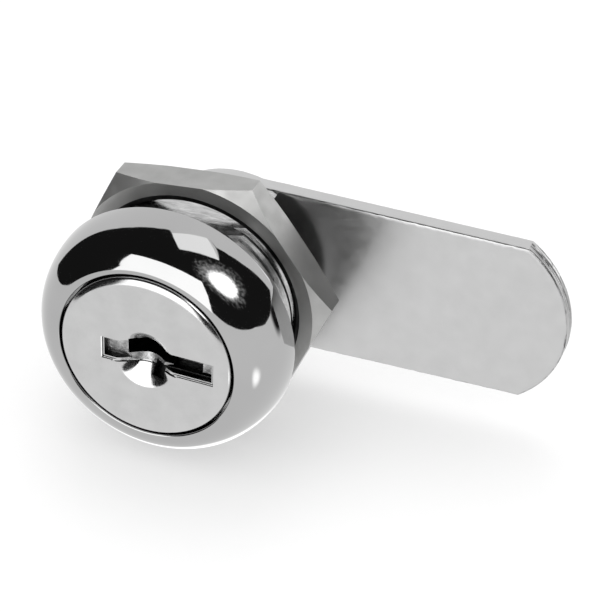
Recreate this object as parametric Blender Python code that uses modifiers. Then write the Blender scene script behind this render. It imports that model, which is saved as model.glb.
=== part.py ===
"""Cam lock: a disc tumbler lock with a domed head, a hex mounting nut and a straight flat cam.

Every piece is drawn as seen from the front of the lock: x to the right, y up and z towards the
person holding the key.  One empty then stands that drawing up, so that in the world the lock's
axis is Y, its face looks along -Y, +Z is up and the cam points along +X.  The origin is on the
axis, in the plane of the head's back face, which rests on the panel.
"""

from math import asin, cos, pi, radians, sin, sqrt, tan

import bmesh
import bpy
from mathutils import Matrix, Vector

MM = 0.001
FINE = 1e-6  # merge distance for turned pieces

# Head and plug face
HEAD_RADIUS = 11.5 * MM
HEAD_DEPTH = 5.5 * MM
CREST_RADIUS = 8.25 * MM
HEAD_EDGE = 0.15 * MM
COUNTERBORE_RADIUS = 8.1 * MM
COUNTERBORE_FLOOR = 2.7 * MM
LIP_CHAMFER = 0.1 * MM
FLANGE_RADIUS = 7.9 * MM
FLANGE_BACK = 2.8 * MM
FACE_PROUD = 0.3 * MM
RIM_WIDTH = 1.0 * MM
RIM_DEPTH = 0.6 * MM

# Threaded barrel, with a flat above and below
BARREL_RADIUS = 9.525 * MM
BARREL_REAR = -10.0 * MM
BARREL_CHAMFER = 0.3 * MM
BORE_RADIUS = 6.45 * MM
FLAT_HALF = 7.94 * MM
THREAD_PITCH = 1.27 * MM
THREAD_DEPTH = 0.65 * MM
THREAD_COUNT = 7
THREAD_START = -1.3 * MM

# Plug, keyway and cam seat
PLUG_RADIUS = 6.35 * MM
PLUG_REAR = -10.1 * MM
KEY_TURN = radians(-2)
RECESS_CENTRE = Vector((1.2 * MM, 0.07 * MM))
RECESS = Vector((10.25 * MM, 2.1 * MM))
RECESS_DEPTH = 0.9 * MM
KEYWAY_CENTRE = Vector((1.64 * MM, 0.28 * MM))
KEYWAY = Vector((6.92 * MM, 1.45 * MM))
KEYWAY_REAR = -7.0 * MM
NOTCH_CENTRE = Vector((1.2 * MM, -1.3 * MM))
NOTCH = Vector((1.15 * MM, 1.1 * MM))
NOTCH_DEPTH = 2.0 * MM
WARD_STEP = 0.3 * MM
BOWL_RADIUS = 3.2 * MM
BOWL_DEPTH = 1.6 * MM
# corners of the step below the keyway and of the relief above it, in millimetres
WARD = [(1.6, -0.79), (6.05, -0.79), (6.05, -0.5), (5.0, -0.5), (5.0, -0.2), (3.0, -0.2)]
BOWL_RELIEF = [(-1.75, 0.9), (1.9, 0.9), (1.6, 1.5), (1.1, 1.8), (0.1, 1.8), (-0.5, 1.5), (-1.6, 1.3)]
TAIL_HALF = 3.5 * MM
TAIL_CORNER = 4.6 * MM
TAIL_REAR = -12.8 * MM

# Disc tumblers
DISC_COUNT = 6
DISC_PITCH = 1.5 * MM
DISC_THICKNESS = 0.8 * MM
SLOT_WIDTH = 0.9 * MM
FIRST_SLOT = 1.9 * MM
DISC_HALF_WIDTH = 3.7 * MM
DISC_RADIUS = 6.25 * MM
DISC_WINDOW = Vector((7.0 * MM, 1.9 * MM))
DISC_CODE = [0.35 * MM, -0.25 * MM, 0.1 * MM, -0.35 * MM, 0.25 * MM, -0.1 * MM]
SIDE_GAP = 0.1 * MM
CHANNEL_RADIUS = 7.05 * MM
CHANNEL_FRONT = 2.2 * MM
CHANNEL_REAR = -6.8 * MM

# Retainer, which keeps the plug in the housing
RETAINER_MIDDLE = -8.0 * MM
RETAINER_SLOT = 1.0 * MM
RETAINER_REACH = 6.9 * MM
RETAINER_HALF_TIP = 2.4 * MM
GROOVE_WIDTH = 1.4 * MM

# Springs beside the discs
FOOT_INNER = 2.05 * MM
FOOT_OUTER = 2.95 * MM
FOOT_DEPTH = 4.9 * MM
CHAMBER_FLOOR = -1.25 * MM
CHAMBER_DEPTH = 5.35 * MM
CHAMBER_WIDTH = 1.3 * MM
SPRING_CENTRE = 4.58 * MM
SPRING_RADIUS = 0.48 * MM
SPRING_WIRE = 0.09 * MM
SPRING_TURNS = 4
SPRING_PLAY = 0.05 * MM

# Mounting nut
NUT_ACROSS_FLATS = 22.2 * MM
NUT_FRONT = -4.4 * MM
NUT_THICKNESS = 3.0 * MM
NUT_BORE_RADIUS = 9.6 * MM
NUT_COUNTERSINK = 0.5 * MM
NUT_LIP = 0.15 * MM
NUT_CHAMFER_RADIUS = 11.3 * MM
NUT_TURN = radians(4.7)
NUT_CHAMFER = radians(30)
NUT_REAR_CHAMFER = radians(15)

# Stop washer and the lugs that limit its turn
TURN = radians(90)
TAB_ANGLE = radians(20)
TAB_PLAY = radians(0.5)
TAB_RADIUS = 8.7 * MM
WASHER_RADIUS = 6.3 * MM
WASHER_FRONT = -10.3 * MM
WASHER_THICKNESS = 1.0 * MM
LUG_INNER = 6.6 * MM
LUG_OUTER = 9.4 * MM
LUG_REAR = -11.2 * MM

# Cam, lock washer and screw
SQUARE_PLAY = 0.1 * MM
CAM_FRONT = -11.4 * MM
CAM_THICKNESS = 1.5 * MM
CAM_TURN = radians(-0.65)
CAM_HUB_CENTRE = 1.0 * MM
CAM_HUB_RADIUS = 8.3 * MM
CAM_HUB_ANGLE = radians(75)
CAM_REACH = 32.1 * MM
CAM_TIP_RADIUS = 9.5 * MM
CAM_TIP_HALF_WIDTH = 7.72 * MM
CAM_BEVEL = 0.15 * MM
TOOTH_COUNT = 10
LOCK_WASHER_FRONT = -13.0 * MM
LOCK_WASHER_THICKNESS = 0.6 * MM
LOCK_WASHER_RADIUS = 5.0 * MM
LOCK_WASHER_ROOT = 3.5 * MM
LOCK_WASHER_TOOTH = 2.65 * MM
SCREW_RADIUS = 2.4 * MM
SCREW_HOLE_RADIUS = 2.5 * MM
SCREW_HOLE_END = -9.15 * MM
SCREW_END = -9.4 * MM
SCREW_POINT = 0.3 * MM
SCREW_HEAD_FRONT = -13.7 * MM
SCREW_HEAD_DEPTH = 2.7 * MM
SCREW_HEAD_RADIUS = 4.6 * MM
SCREW_CROSS = Vector((4.8 * MM, 1.1 * MM))
SCREW_CROSS_DEPTH = 1.6 * MM

for old in list(bpy.data.objects):
    bpy.data.objects.remove(old, do_unlink=True)

parts = bpy.data.collections.new("cam_lock")
cutters = bpy.data.collections.new("cutters")
bpy.context.scene.collection.children.link(parts)
bpy.context.scene.collection.children.link(cutters)


# ---------------------------------------------------------------- materials

def finish(name, colour, roughness):
    """A bare or plated metal."""
    material = bpy.data.materials.new(name)
    material.use_nodes = True
    shader = material.node_tree.nodes["Principled BSDF"]
    shader.inputs["Base Color"].default_value = (*colour, 1.0)
    shader.inputs["Metallic"].default_value = 1.0
    shader.inputs["Roughness"].default_value = roughness
    return material


CHROME = finish("polished_chrome", (0.78, 0.78, 0.79), 0.07)
SATIN = finish("satin_chrome", (0.74, 0.74, 0.74), 0.22)
NICKEL = finish("nickel_plate", (0.66, 0.65, 0.63), 0.3)
ZINC = finish("zinc_plate", (0.62, 0.63, 0.64), 0.35)
BRASS = finish("brass", (0.78, 0.6, 0.3), 0.3)
SPRING_STEEL = finish("spring_steel", (0.5, 0.5, 0.52), 0.35)


# ---------------------------------------------------------------- shape helpers

def add(name, mesh, collection, material=None):
    """An object for a mesh, in one of the two collections."""
    thing = bpy.data.objects.new(name, mesh)
    collection.objects.link(thing)
    if material:
        mesh.materials.clear()
        mesh.materials.append(material)
    return thing


def as_mesh(source, name, collection, material=None):
    """The evaluated mesh of an object, welded, as a new object that replaces it."""
    bpy.context.view_layer.update()
    evaluated = source.evaluated_get(bpy.context.evaluated_depsgraph_get())
    mesh = bpy.data.meshes.new_from_object(evaluated)
    mesh.transform(source.matrix_world)
    bm = bmesh.new()
    bm.from_mesh(mesh)
    bmesh.ops.remove_doubles(bm, verts=bm.verts, dist=FINE)
    bm.to_mesh(mesh)
    bm.free()
    bpy.data.objects.remove(source, do_unlink=True)
    return add(name, mesh, collection, material)


def turned(name, profile, segments, collection, material=None):
    """A profile of (radius, z) points swept round z; it runs down the outer side."""
    mesh = bpy.data.meshes.new(name)
    closed = profile[0][0] > 0
    edges = [(i, i + 1) for i in range(len(profile) - 1)]
    if closed:
        edges.append((len(profile) - 1, 0))
    mesh.from_pydata([(radius, 0, z) for radius, z in profile], edges, [])
    thing = add(name, mesh, collection, material)
    screw = thing.modifiers.new("turn", "SCREW")
    screw.axis = "Z"
    screw.angle = 2 * pi
    screw.steps = segments
    screw.render_steps = segments
    screw.use_merge_vertices = True
    screw.merge_threshold = FINE
    screw.use_smooth_shade = False
    return thing


def plate(name, outlines, front, thickness, collection, material=None):
    """Flat outlines, the second and later ones being holes, made into a plate behind z = front."""
    curve = bpy.data.curves.new(name, "CURVE")
    curve.dimensions = "2D"
    curve.fill_mode = "BOTH"
    curve.extrude = thickness / 2
    for outline in outlines:
        spline = curve.splines.new("POLY")
        spline.points.add(len(outline) - 1)
        for point, (x, y) in zip(spline.points, outline):
            point.co = (x, y, 0, 1)
        spline.use_cyclic_u = True
    flat = bpy.data.objects.new(name + "_outline", curve)
    flat.location.z = front - thickness / 2
    cutters.objects.link(flat)
    return as_mesh(flat, name, collection, material)


def solids(name, shapes):
    """A cutter made of separate boxes and round bars, each given as a function that adds one."""
    bm = bmesh.new()
    for shape in shapes:
        shape(bm)
    mesh = bpy.data.meshes.new(name)
    bm.to_mesh(mesh)
    bm.free()
    return add(name, mesh, cutters)


def box(low, high):
    """A box between two corners."""
    centre = (Vector(low) + Vector(high)) / 2
    size = Vector(high) - Vector(low)
    place = Matrix.Translation(centre) @ Matrix.Diagonal((*size, 1))
    return lambda bm: bmesh.ops.create_cube(bm, size=1, matrix=place)


def bar(front, rear, radius, sides):
    """A round bar along z."""
    place = Matrix.Translation((0, 0, (front + rear) / 2))
    return lambda bm: bmesh.ops.create_cone(
        bm, cap_ends=True, segments=sides, radius1=radius, radius2=radius,
        depth=front - rear, matrix=place)


def boolean(target, tool, operation):
    """Cut, join or intersect a piece with a tool."""
    tool.hide_render = True
    tool.display_type = "WIRE"
    change = target.modifiers.new(tool.name, "BOOLEAN")
    change.operation = operation
    change.solver = "EXACT"
    change.object = tool


def arc(radius, start, end, steps, centre=(0, 0)):
    """Points along an arc, both ends included."""
    angles = [start + (end - start) * i / steps for i in range(steps + 1)]
    return [(centre[0] + radius * cos(a), centre[1] + radius * sin(a)) for a in angles]


def circle(radius, steps):
    """Points of a full circle."""
    return arc(radius, 0, 2 * pi, steps)[:-1]


def rectangle(size, centre=(0, 0)):
    """Corners of a rectangle."""
    half_x = size[0] / 2
    half_y = size[1] / 2
    corners = [(-half_x, -half_y), (half_x, -half_y), (half_x, half_y), (-half_x, half_y)]
    return [(centre[0] + x, centre[1] + y) for x, y in corners]


def key_outline(corners):
    """An outline of the keyhole, which is turned a little about the lock's axis."""
    return [tuple(Matrix.Rotation(KEY_TURN, 2) @ Vector(corner)) for corner in corners]


def square(half, corner_radius):
    """A square whose corners are cut off by a circle."""
    reach = sqrt(corner_radius ** 2 - half ** 2)
    points = []
    for quarter in range(4):
        turn = Matrix.Rotation(quarter * pi / 2, 2)
        points += [turn @ Vector((half, -reach)), turn @ Vector((half, reach))]
    return [tuple(p) for p in points]


def mirrored(points, side):
    """The same outline, or its half-turned copy, still listed the same way round."""
    return [(side * x, side * y) for x, y in points]


# ---------------------------------------------------------------- housing

def dome_profile(steps=10):
    """The quarter ellipse from the crest of the head out to its widest edge."""
    width = HEAD_RADIUS - CREST_RADIUS
    height = HEAD_DEPTH - HEAD_EDGE
    angles = [pi / 2 * (1 - i / steps) for i in range(steps + 1)]
    return [(CREST_RADIUS + width * cos(a), HEAD_EDGE + height * sin(a)) for a in angles]


def thread_profile():
    """Rings of thread down the barrel."""
    flank = 0.4 * THREAD_PITCH
    points = [(BARREL_RADIUS, 0)]
    for ring in range(THREAD_COUNT):
        root = THREAD_START - THREAD_PITCH * ring
        points.append((BARREL_RADIUS, root + flank))
        points.append((BARREL_RADIUS - THREAD_DEPTH, root))
        points.append((BARREL_RADIUS, root - flank))
    points.append((BARREL_RADIUS, BARREL_REAR + BARREL_CHAMFER))
    points.append((BARREL_RADIUS - BARREL_CHAMFER, BARREL_REAR))
    return points


def lug_outline(middle):
    """One raised lug on the barrel's rear rim, between the windows in which a tab turns."""
    half = (pi - TURN - TAB_ANGLE) / 2 - TAB_PLAY
    outer = arc(LUG_OUTER, middle - half, middle + half, 12)
    inner = arc(LUG_INNER, middle + half, middle - half, 12)
    return outer + inner


def make_housing():
    groove_front = RETAINER_MIDDLE + GROOVE_WIDTH / 2
    groove_rear = RETAINER_MIDDLE - GROOVE_WIDTH / 2
    profile = dome_profile()
    profile.append((HEAD_RADIUS - HEAD_EDGE, 0))
    profile += thread_profile()
    profile.append((BORE_RADIUS, BARREL_REAR))
    profile.append((BORE_RADIUS, groove_rear))
    profile.append((CHANNEL_RADIUS, groove_rear))
    profile.append((CHANNEL_RADIUS, groove_front))
    profile.append((BORE_RADIUS, groove_front))
    profile.append((BORE_RADIUS, COUNTERBORE_FLOOR))
    profile.append((COUNTERBORE_RADIUS, COUNTERBORE_FLOOR))
    profile.append((COUNTERBORE_RADIUS, HEAD_DEPTH - LIP_CHAMFER))
    housing = turned("housing", profile, 72, parts, CHROME)

    overlap = 0.4 * MM
    for number, middle in enumerate((pi / 2, -pi / 2), start=1):
        lug_depth = BARREL_REAR + overlap - LUG_REAR
        lug = plate(f"lug_{number}", [lug_outline(middle)], BARREL_REAR + overlap, lug_depth, cutters)
        boolean(housing, lug, "UNION")

    beyond = 2 * HEAD_RADIUS
    above = box((-beyond, FLAT_HALF, LUG_REAR - MM), (beyond, beyond, 0))
    below = box((-beyond, -beyond, LUG_REAR - MM), (beyond, -FLAT_HALF, 0))
    boolean(housing, solids("barrel_flats", [above, below]), "DIFFERENCE")

    half = DISC_HALF_WIDTH + 2 * SIDE_GAP
    across = box((-CHANNEL_RADIUS, -half, CHANNEL_REAR), (CHANNEL_RADIUS, half, CHANNEL_FRONT))
    boolean(housing, solids("side_channels", [across]), "DIFFERENCE")
    upright = box((-half, -CHANNEL_RADIUS, CHANNEL_REAR), (half, CHANNEL_RADIUS, CHANNEL_FRONT))
    boolean(housing, solids("upright_channels", [upright]), "DIFFERENCE")
    return housing


# ---------------------------------------------------------------- discs, retainer and springs

def disc_middle(index):
    """Height of a disc's middle plane."""
    return FIRST_SLOT - SLOT_WIDTH / 2 - DISC_PITCH * index


def disc_side(index):
    """Discs are sprung to the right and to the left by turns."""
    return 1 if index % 2 == 0 else -1


def sliding_outline(reach, half_tip):
    """A sliding plate with a rounded end each way and a foot below for its spring."""
    half = DISC_HALF_WIDTH
    corner = asin(half / DISC_RADIUS)
    right_corner = sqrt(DISC_RADIUS ** 2 - half ** 2)
    left = arc(DISC_RADIUS, pi - corner, pi + corner, 8)
    foot = [(FOOT_INNER, -half), (FOOT_INNER, -FOOT_DEPTH), (FOOT_OUTER, -FOOT_DEPTH),
            (FOOT_OUTER, -half)]
    tip = asin(half_tip / reach)
    right = arc(reach, -tip, tip, 8)
    if reach > DISC_RADIUS:
        right = [(right_corner, -half), (right_corner, -half_tip)] + right
        right += [(right_corner, half_tip), (right_corner, half)]
    return left + foot + right


def make_disc(index):
    side = disc_side(index)
    outline = mirrored(sliding_outline(DISC_RADIUS, DISC_HALF_WIDTH), side)
    window_centre = (KEYWAY_CENTRE.x + DISC_CODE[index], KEYWAY_CENTRE.y)
    window = key_outline(rectangle(DISC_WINDOW, window_centre))
    front = disc_middle(index) + DISC_THICKNESS / 2
    name = f"disc_tumbler_{index + 1}"
    return plate(name, [outline, window], front, DISC_THICKNESS, parts, BRASS)


def make_retainer():
    outline = sliding_outline(RETAINER_REACH, RETAINER_HALF_TIP)
    front = RETAINER_MIDDLE + DISC_THICKNESS / 2
    return plate("retainer", [outline], front, DISC_THICKNESS, parts, BRASS)


def make_spring(name, middle, side, steps=8):
    """A compression spring between the chamber's floor and the foot of its disc."""
    start = CHAMBER_FLOOR + SPRING_WIRE + SPRING_PLAY
    end = FOOT_INNER - SPRING_WIRE - SPRING_PLAY
    count = SPRING_TURNS * steps
    curve = bpy.data.curves.new(name, "CURVE")
    curve.dimensions = "3D"
    curve.bevel_depth = SPRING_WIRE
    curve.bevel_resolution = 1
    curve.use_fill_caps = True
    spline = curve.splines.new("POLY")
    spline.points.add(count)
    for i, point in enumerate(spline.points):
        angle = 2 * pi * i / steps
        x = start + (end - start) * i / count
        y = SPRING_RADIUS * cos(angle) - SPRING_CENTRE
        z = SPRING_RADIUS * sin(angle) + middle
        point.co = (side * x, side * y, z, 1)
    coil = bpy.data.objects.new(name + "_wire", curve)
    cutters.objects.link(coil)
    return as_mesh(coil, name, parts, SPRING_STEEL)


# ---------------------------------------------------------------- plug

def spring_chamber(middle, side):
    """The pocket beside a slot that holds the spring and the disc's foot."""
    low = (side * CHAMBER_FLOOR, -side * (DISC_HALF_WIDTH - SIDE_GAP), middle - CHAMBER_WIDTH / 2)
    high = (side * PLUG_RADIUS, -side * CHAMBER_DEPTH, middle + CHAMBER_WIDTH / 2)
    corners = list(zip(low, high))
    return box([min(pair) for pair in corners], [max(pair) for pair in corners])


def slot(middle, width):
    """The slot right through the plug in which a disc slides."""
    half = DISC_HALF_WIDTH + SIDE_GAP
    reach = 1.2 * PLUG_RADIUS
    return box((-reach, -half, middle - width / 2), (reach, half, middle + width / 2))


def make_plug():
    face = HEAD_DEPTH + FACE_PROUD
    profile = [(0, face)]
    for angle in (0, pi / 4, pi / 2):
        radius = FLANGE_RADIUS - RIM_WIDTH * (1 - sin(angle))
        profile.append((radius, face - RIM_DEPTH * (1 - cos(angle))))
    profile += [
        (FLANGE_RADIUS, FLANGE_BACK),
        (PLUG_RADIUS, FLANGE_BACK),
        (PLUG_RADIUS, PLUG_REAR),
        (0, PLUG_REAR),
    ]
    plug = turned("plug", profile, 56, parts, SATIN)

    tail_front = PLUG_REAR + 0.5 * MM
    tail_outline = square(TAIL_HALF, TAIL_CORNER)
    tail = plate("plug_tail", [tail_outline], tail_front, tail_front - TAIL_REAR, cutters)
    boolean(plug, tail, "UNION")

    slots = [slot(disc_middle(i), SLOT_WIDTH) for i in range(DISC_COUNT)]
    slots.append(slot(RETAINER_MIDDLE, RETAINER_SLOT))
    boolean(plug, solids("disc_slots", slots), "DIFFERENCE")
    chambers = [spring_chamber(disc_middle(i), disc_side(i)) for i in range(DISC_COUNT)]
    chambers.append(spring_chamber(RETAINER_MIDDLE, 1))
    boolean(plug, solids("spring_chambers", chambers), "DIFFERENCE")

    def sink(name, corners, floor):
        """Cut an outline of the keyhole into the face down to a floor."""
        top = face + MM
        boolean(plug, plate(name, [key_outline(corners)], top, top - floor, cutters), "DIFFERENCE")

    ward = [Vector(corner) * MM for corner in WARD]
    relief = [Vector(corner) * MM for corner in BOWL_RELIEF]
    sink("key_recess", rectangle(RECESS, RECESS_CENTRE), face - RECESS_DEPTH)
    sink("key_notch", rectangle(NOTCH, NOTCH_CENTRE), face - NOTCH_DEPTH)
    boolean(plug, turned("bowl", bowl_profile(face), 40, cutters), "DIFFERENCE")
    sink("key_ward", ward, face - NOTCH_DEPTH - WARD_STEP)
    sink("bowl_relief", relief, face - NOTCH_DEPTH - 2 * WARD_STEP)
    sink("keyway", rectangle(KEYWAY, KEYWAY_CENTRE), KEYWAY_REAR)
    hole = solids("screw_hole", [bar(SCREW_HOLE_END, TAIL_REAR - MM, SCREW_HOLE_RADIUS, 24)])
    boolean(plug, hole, "DIFFERENCE")
    return plug


def bowl_profile(face, steps=8):
    """A hollow that blends into the face, as the solid that cuts it."""
    curve = []
    for i in range(steps + 1):
        share = 1 - i / steps
        curve.append((BOWL_RADIUS * share, face - BOWL_DEPTH * cos(pi / 2 * share) ** 2))
    above = face + MM
    return [(0, above), (BOWL_RADIUS, above)] + curve


# ---------------------------------------------------------------- nut

def make_nut():
    corner = NUT_ACROSS_FLATS / 2 / cos(pi / 6)
    beyond = 1.05 * corner
    chamfered = beyond - NUT_CHAMFER_RADIUS
    back = NUT_FRONT - NUT_THICKNESS
    sink_radius = NUT_BORE_RADIUS + NUT_COUNTERSINK
    profile = [
        (sink_radius, NUT_FRONT),
        (NUT_CHAMFER_RADIUS, NUT_FRONT),
        (beyond, NUT_FRONT - chamfered * tan(NUT_CHAMFER)),
        (beyond, back + chamfered * tan(NUT_REAR_CHAMFER)),
        (NUT_CHAMFER_RADIUS, back),
        (sink_radius, back),
        (NUT_BORE_RADIUS, back + NUT_COUNTERSINK),
        (NUT_BORE_RADIUS, NUT_FRONT - NUT_LIP),
    ]
    nut = turned("hex_nut", profile, 72, parts, NICKEL)
    angles = [NUT_TURN + i * pi / 3 for i in range(6)]
    hexagon = [(corner * cos(a), corner * sin(a)) for a in angles]
    blank = plate("hexagon", [hexagon], NUT_FRONT + MM, NUT_THICKNESS + 2 * MM, cutters)
    boolean(nut, blank, "INTERSECT")
    return nut


# ---------------------------------------------------------------- rear end: washers, cam, screw

def make_stop_washer():
    """A ring on the plug's square tail, with two tabs that meet the housing's lugs."""
    outline = []
    for middle in (-TURN / 2, pi - TURN / 2):
        start = middle - TAB_ANGLE / 2
        end = middle + TAB_ANGLE / 2
        outline += arc(TAB_RADIUS, start, end, 4)
        outline += arc(WASHER_RADIUS, end, start + pi, 14)
    hole = square(TAIL_HALF + SQUARE_PLAY, TAIL_CORNER + SQUARE_PLAY)
    return plate("stop_washer", [outline, hole], WASHER_FRONT, WASHER_THICKNESS, parts, ZINC)


def make_cam():
    """A flat arm, round at the plug, that narrows a little to a slightly rounded tip."""
    tip = asin(CAM_TIP_HALF_WIDTH / CAM_TIP_RADIUS)
    outline = arc(CAM_TIP_RADIUS, -tip, tip, 16, (CAM_REACH - CAM_TIP_RADIUS, 0))
    outline += arc(CAM_HUB_RADIUS, CAM_HUB_ANGLE, 2 * pi - CAM_HUB_ANGLE, 24, (CAM_HUB_CENTRE, 0))
    outline = [tuple(Matrix.Rotation(CAM_TURN, 2) @ Vector(point)) for point in outline]
    hole = square(TAIL_HALF + SQUARE_PLAY, TAIL_CORNER + SQUARE_PLAY)
    cam = plate("cam", [outline, hole], CAM_FRONT, CAM_THICKNESS, parts, ZINC)
    rounding = cam.modifiers.new("edges", "BEVEL")
    rounding.width = CAM_BEVEL
    rounding.segments = 1
    rounding.limit_method = "ANGLE"
    rounding.angle_limit = radians(60)
    return cam


def make_lock_washer():
    """An internal tooth lock washer."""
    step = 2 * pi / TOOTH_COUNT
    teeth = []
    for tooth in range(TOOTH_COUNT):
        middle = tooth * step
        teeth += arc(LOCK_WASHER_TOOTH, middle - 0.2 * step, middle + 0.2 * step, 1)
        teeth += arc(LOCK_WASHER_ROOT, middle + 0.33 * step, middle + 0.67 * step, 1)
    outlines = [circle(LOCK_WASHER_RADIUS, 40), teeth]
    return plate("lock_washer", outlines, LOCK_WASHER_FRONT, LOCK_WASHER_THICKNESS, parts,
                 SPRING_STEEL)


def make_screw():
    """A pan head screw with a cross recess, pointing forward into the plug."""
    rear = SCREW_HEAD_FRONT - SCREW_HEAD_DEPTH
    round_radius = 0.55 * SCREW_HEAD_DEPTH
    centre = (SCREW_HEAD_RADIUS - round_radius, rear + round_radius)
    rounded = arc(round_radius, 0, -pi / 2, 5, centre)
    profile = [
        (0, SCREW_END),
        (SCREW_RADIUS - SCREW_POINT, SCREW_END),
        (SCREW_RADIUS, SCREW_END - SCREW_POINT),
        (SCREW_RADIUS, SCREW_HEAD_FRONT),
        (SCREW_HEAD_RADIUS, SCREW_HEAD_FRONT),
    ] + rounded + [(0, rear)]
    screw = turned("cam_screw", profile, 36, parts, ZINC)
    depth = SCREW_CROSS_DEPTH + MM
    cross = [SCREW_CROSS, SCREW_CROSS.yx]
    for number, size in enumerate(cross, start=1):
        slit = plate(f"cross_slit_{number}", [rectangle(size)], rear + SCREW_CROSS_DEPTH, depth, cutters)
        boolean(screw, slit, "DIFFERENCE")
    return screw


# ---------------------------------------------------------------- assembly

def stand_up():
    """Turn the front view into the world: its z becomes -Y and its y becomes +Z."""
    frame = bpy.data.objects.new("lock_axis", None)
    frame.rotation_euler.x = pi / 2
    bpy.context.scene.collection.objects.link(frame)
    for thing in list(parts.objects) + list(cutters.objects):
        thing.parent = frame


make_housing()
make_plug()
for disc in range(DISC_COUNT):
    make_disc(disc)
    make_spring(f"disc_spring_{disc + 1}", disc_middle(disc), disc_side(disc))
make_retainer()
make_spring("retainer_spring", RETAINER_MIDDLE, 1)
make_nut()
make_stop_washer()
make_cam()
make_lock_washer()
make_screw()
stand_up()
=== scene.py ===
"""Looks for the cam lock: fine meshes, plated metal finishes, studio cards, floor and camera.

Pieces are drawn as seen from the front of the lock, x to the right, y up and z towards the
person holding the key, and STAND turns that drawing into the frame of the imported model, where the
lock's axis is Y and its face looks along -Y.
"""

from math import acos, asin, cos, pi, radians, sin, tan

import bmesh
import bpy
from mathutils import Matrix, Vector, noise


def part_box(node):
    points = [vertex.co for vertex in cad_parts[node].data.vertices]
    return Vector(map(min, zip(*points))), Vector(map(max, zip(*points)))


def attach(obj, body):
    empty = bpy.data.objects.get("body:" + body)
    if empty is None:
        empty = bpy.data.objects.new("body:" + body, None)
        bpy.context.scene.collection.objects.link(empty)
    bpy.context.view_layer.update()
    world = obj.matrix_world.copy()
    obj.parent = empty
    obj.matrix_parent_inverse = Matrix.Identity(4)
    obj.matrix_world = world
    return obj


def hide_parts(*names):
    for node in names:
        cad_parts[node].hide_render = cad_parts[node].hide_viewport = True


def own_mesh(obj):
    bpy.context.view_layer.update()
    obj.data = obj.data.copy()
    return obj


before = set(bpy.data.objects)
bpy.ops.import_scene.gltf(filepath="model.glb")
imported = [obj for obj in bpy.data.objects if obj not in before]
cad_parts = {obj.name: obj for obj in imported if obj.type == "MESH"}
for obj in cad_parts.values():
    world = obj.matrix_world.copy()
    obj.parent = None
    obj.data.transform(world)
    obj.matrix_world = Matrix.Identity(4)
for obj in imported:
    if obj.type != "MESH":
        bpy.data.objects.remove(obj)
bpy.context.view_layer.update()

MM = 0.001
STAND = Matrix(((1, 0, 0, 0), (0, 0, -1, 0), (0, 1, 0, 0), (0, 0, 0, 1)))


# ---------------------------------------------------------------- sizes

def front_view_box(node):
    """Lowest and highest corner of a node in the front view."""
    low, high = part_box(node)
    return Vector((low.x, low.z, -high.y)), Vector((high.x, high.z, -low.y))


housing_low, housing_high = front_view_box("housing")
plug_low, plug_high = front_view_box("plug")
nut_low, nut_high = front_view_box("hex_nut")
stop_low, stop_high = front_view_box("stop_washer")
cam_low, cam_high = front_view_box("cam")
ring_low, ring_high = front_view_box("lock_washer")
screw_low, screw_high = front_view_box("cam_screw")

# The housing: a domed head and the threaded barrel behind it. Heights are measured from the head's back.
HEAD_RADIUS = housing_high.x
HEAD_DEPTH = housing_high.z
CREST_RADIUS = 8.25 * MM
HEAD_EDGE = 0.15 * MM
COUNTERBORE_RADIUS = 8.1 * MM
COUNTERBORE_FLOOR = 2.7 * MM
BARREL_RADIUS = 9.525 * MM
BARREL_REAR = -10.0 * MM
BARREL_CHAMFER = 0.3 * MM
BORE_RADIUS = 6.45 * MM
FLAT_HALF = 7.94 * MM
THREAD_PITCH = 1.27 * MM
THREAD_DEPTH = 0.65 * MM
THREAD_FIRST = -1.3 * MM
THREAD_HALF_ANGLE = radians(30)
THREAD_ROOT_HALF = 0.08 * THREAD_PITCH
THREAD_OVERCUT = 0.25
RUNOUT_TURNS = 0.6
RUNOUT_DEPTH = 0.15
CHANNEL_RADIUS = 7.05 * MM
CHANNEL_FRONT = 2.2 * MM
CHANNEL_REAR = -6.8 * MM
CHANNEL_HALF = 3.9 * MM
GROOVE_FRONT = -7.3 * MM
GROOVE_REAR = -8.7 * MM
LUG_INNER = 6.6 * MM
LUG_OUTER = 9.4 * MM
LUG_HALF_ANGLE = radians(34.5)
LUG_OVERLAP = 0.4 * MM
LUG_CHAMFER = 0.1 * MM

# The plug: a flanged face that holds the keyhole, a slotted body and a square tail.
PLUG_RADIUS = 6.35 * MM
PLUG_REAR = -10.1 * MM
PLUG_FACE = plug_high.z
FLANGE_RADIUS = 7.9 * MM
FLANGE_BACK = 2.8 * MM
TAIL_HALF = 3.5 * MM
TAIL_CORNER = 4.6 * MM
TAIL_OVERLAP = 0.5 * MM
TAIL_CHAMFER = 0.2 * MM
RIM_START = 5.2 * MM
RIM_WEAR = 0.6 * MM
RIM_DEPTH = 0.6 * MM
RIM_POWER = 8

# The keyhole, from the face inwards. It is drawn upright and then turned about the lock's axis.
KEY_TURN = radians(-2)
RECESS_CENTRE = Vector((1.2 * MM, 0.07 * MM))
RECESS = Vector((10.25 * MM, 2.1 * MM))
RECESS_DEPTH = 0.9 * MM
LEDGE_WIDTH = 0.15 * MM
LEDGE_DEPTH = 0.22 * MM
LEDGE_CHAMFER = 0.06 * MM
FLOOR_STEP = 0.15 * MM
FLOOR_DROP = 0.15 * MM
KEYWAY_CENTRE = Vector((1.64 * MM, 0.28 * MM))
KEYWAY = Vector((6.92 * MM, 1.45 * MM))
KEYWAY_REAR = -7.0 * MM
NOTCH_CENTRE = Vector((1.2 * MM, -1.3 * MM))
NOTCH = Vector((1.15 * MM, 1.1 * MM))
NOTCH_DEPTH = 2.0 * MM
WARD_MM = [(1.6, -0.79), (6.05, -0.79), (6.05, -0.5), (5.0, -0.5), (5.0, -0.2), (3.0, -0.2)]
WARD_STEP = 0.3 * MM
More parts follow.
